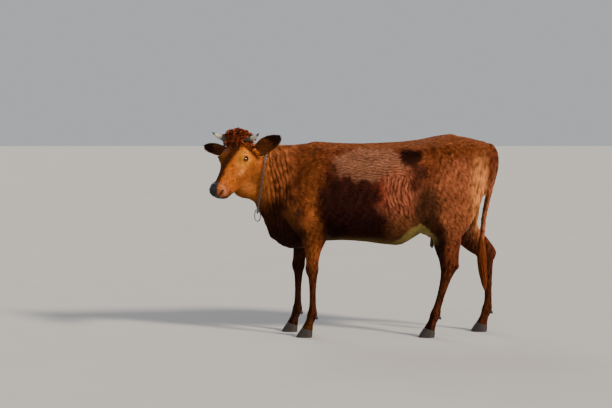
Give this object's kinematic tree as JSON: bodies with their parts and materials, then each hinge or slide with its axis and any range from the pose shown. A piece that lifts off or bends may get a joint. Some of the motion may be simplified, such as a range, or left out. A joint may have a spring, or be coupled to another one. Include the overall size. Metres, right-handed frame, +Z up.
{
  "type": "cow",
  "caption": "Young red-brown cow standing with its head turned to its left, with short curled horns, dark muzzle and a chain round its neck.",
  "frame": {"origin": "centre of the bounding box at the ground, under the soles", "axes": "+Z up, head towards -X and tail towards +X, the cow's left side towards -Y"},
  "size_m": [1.9104, 0.7442, 1.3512],
  "materials": {
    "coat": "short red-brown hair with a soft shine",
    "long_hair": "long dark brown tail hair",
    "bare_skin": "pale soft skin with thin hair",
    "eye": "wet dark brown",
    "horn": "grey-brown horn, paler in the middle, dark at base and tip",
    "hoof": "dark horn with fine growth rings",
    "steel": "worn zinc-plated steel"
  },
  "bodies": {
    "root": {"head": "coat", "neck": "coat", "trunk": "coat", "foreleg_left": "coat", "foreleg_right": "coat", "hindleg_left": "coat", "hindleg_right": "coat", "tail": "coat", "ear_left": "coat", "ear_right": "coat", "tail_switch": "long_hair", "udder": "bare_skin", "teat_fore_left": "bare_skin", "teat_fore_right": "bare_skin", "teat_hind_left": "bare_skin", "teat_hind_right": "bare_skin", "eye_left": "eye", "eye_right": "eye", "horn_left": "horn", "horn_right": "horn", "hoof_fore_left_inner": "hoof", "dewclaw_fore_left_inner": "hoof", "hoof_fore_left_outer": "hoof", "dewclaw_fore_left_outer": "hoof", "hoof_fore_right_inner": "hoof", "dewclaw_fore_right_inner": "hoof", "hoof_fore_right_outer": "hoof", "dewclaw_fore_right_outer": "hoof", "hoof_hind_left_inner": "hoof", "dewclaw_hind_left_inner": "hoof", "hoof_hind_left_outer": "hoof", "dewclaw_hind_left_outer": "hoof", "hoof_hind_right_inner": "hoof", "dewclaw_hind_right_inner": "hoof", "hoof_hind_right_outer": "hoof", "dewclaw_hind_right_outer": "hoof", "collar_chain": "steel", "collar_ring": "steel"}
  },
  "joints": []
}
